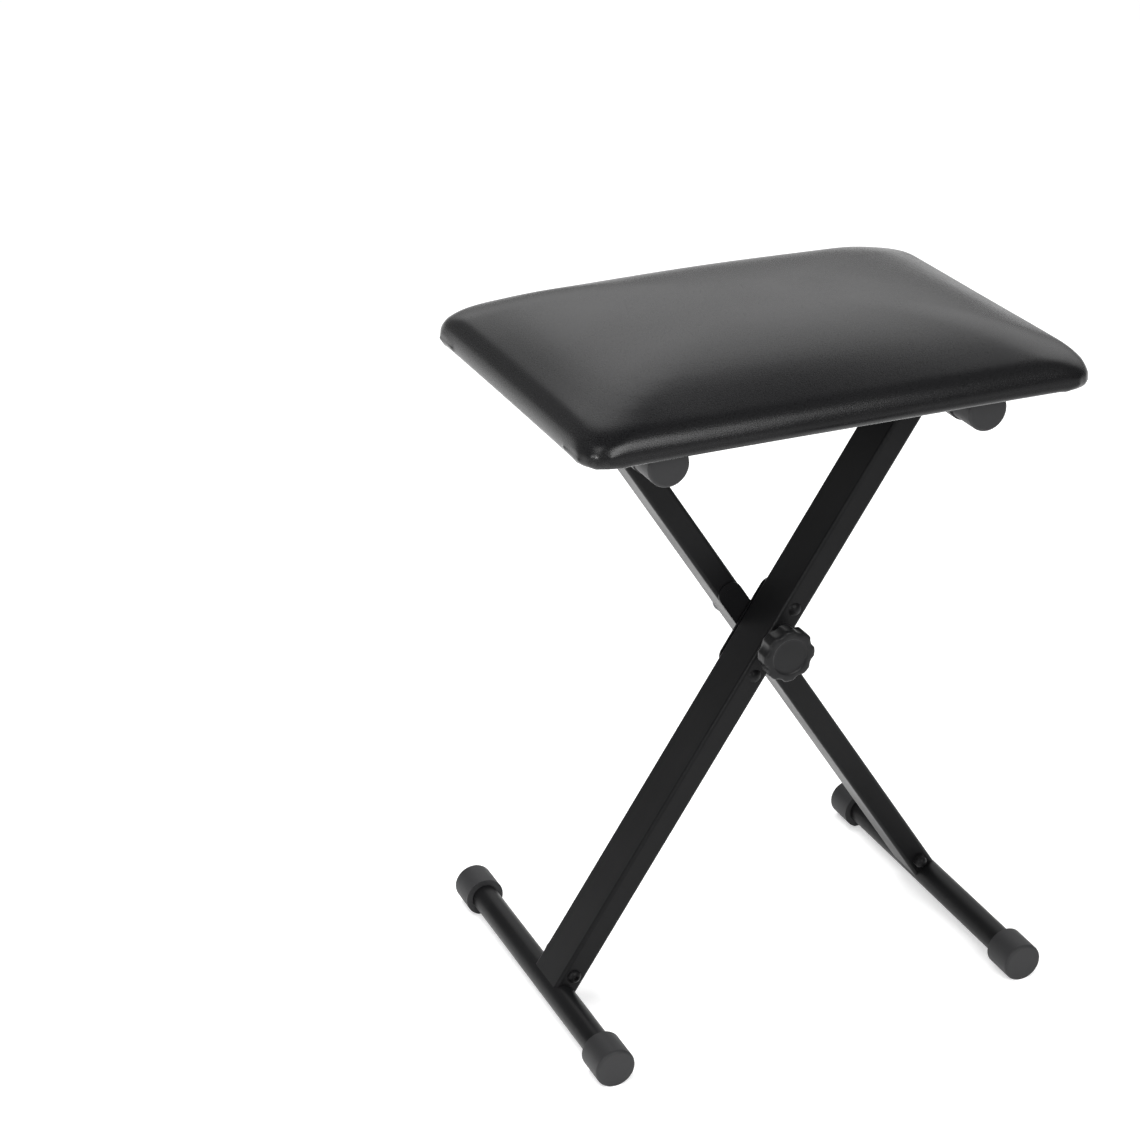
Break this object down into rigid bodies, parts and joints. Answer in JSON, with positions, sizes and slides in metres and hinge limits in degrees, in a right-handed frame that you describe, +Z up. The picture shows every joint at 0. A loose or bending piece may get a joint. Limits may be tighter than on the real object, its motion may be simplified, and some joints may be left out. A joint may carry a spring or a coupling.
{
  "type": "keyboard bench",
  "caption": "Folding bench for a keyboard player: padded oblong seat on an X frame of rectangular tubes with round foot bars, a clutch pivot and a clamp knob.",
  "frame": {"origin": "on the floor under the middle of the seat", "axes": "+X along the seat, +Y from the knob side to the bolt head side, +Z up"},
  "size_m": [0.4, 0.295, 0.5599],
  "materials": {
    "vinyl": "satin black vinyl",
    "foam": "open foam",
    "plywood": "plain plywood",
    "dust cloth": "matt cloth",
    "black steel": "satin black powder coat",
    "zinc steel": "zinc plated",
    "cap rubber": "matt",
    "nylon": "matt moulded",
    "knob plastic": "satin moulded",
    "brass": "machined"
  },
  "bodies": {
    "seat": {"seat_cover": "vinyl", "seat_foam": "foam", "seat_board": "plywood", "dust_cover": "dust cloth", "board_tee_nuts": "zinc steel", "near_saddle": "nylon", "far_saddle": "nylon", "near_keeper": "nylon", "far_keeper": "nylon", "saddle_screws": "zinc steel", "keeper_screws": "zinc steel"},
    "rear_frame": {"rear_leg": "black steel", "rear_pivot_sleeve": "zinc steel", "rear_clutch_plate": "black steel", "rear_clutch_rivets": "black steel", "rear_top_bar": "black steel", "rear_top_cap_near": "cap rubber", "rear_top_cap_far": "cap rubber", "rear_foot_bar": "black steel", "rear_foot_cap_near": "cap rubber", "rear_foot_cap_far": "cap rubber", "rear_foot_bolt": "black steel", "rear_foot_nut": "black steel", "pivot_bolt": "zinc steel", "pivot_washer": "zinc steel"},
    "front_frame": {"front_leg": "black steel", "front_pivot_sleeve": "zinc steel", "front_clutch_plate": "black steel", "front_clutch_rivets": "black steel", "front_top_bar": "black steel", "front_top_cap_near": "cap rubber", "front_top_cap_far": "cap rubber", "front_foot_bar": "black steel", "front_foot_cap_near": "cap rubber", "front_foot_cap_far": "cap rubber", "front_foot_bolt": "black steel", "front_foot_nut": "black steel"},
    "washer": {"thrust_washer": "zinc steel"},
    "knob": {"clamp_knob": "knob plastic", "knob_insert": "brass"}
  },
  "joints": [
    {"name": "leg_fold", "type": "hinge", "parent": "seat", "child": "rear_frame", "pos_m": [-0.12783, 0, 0.48566], "axis": [0, -1, 0], "range_deg": [0, 51]},
    {"name": "cross_pivot", "type": "hinge", "parent": "rear_frame", "child": "front_frame", "pos_m": [0, 0, 0.28883], "axis": [0, 1, 0], "range_deg": [0, 102]},
    {"name": "washer_slide", "type": "slide", "parent": "front_frame", "child": "washer", "axis": [0, -1, 0], "range_m": [0, 0.0031]},
    {"name": "knob_turn", "type": "hinge", "parent": "washer", "child": "knob", "pos_m": [0, -0.0445, 0.28883], "axis": [0, -1, 0], "range_deg": [0, 720]}
  ],
  "couplings": [
    {"joint": "cross_pivot", "follows": "leg_fold", "ratio": 2},
    {"joint": "washer_slide", "follows": "knob_turn", "m_per_rad": 0.00023873}
  ]
}
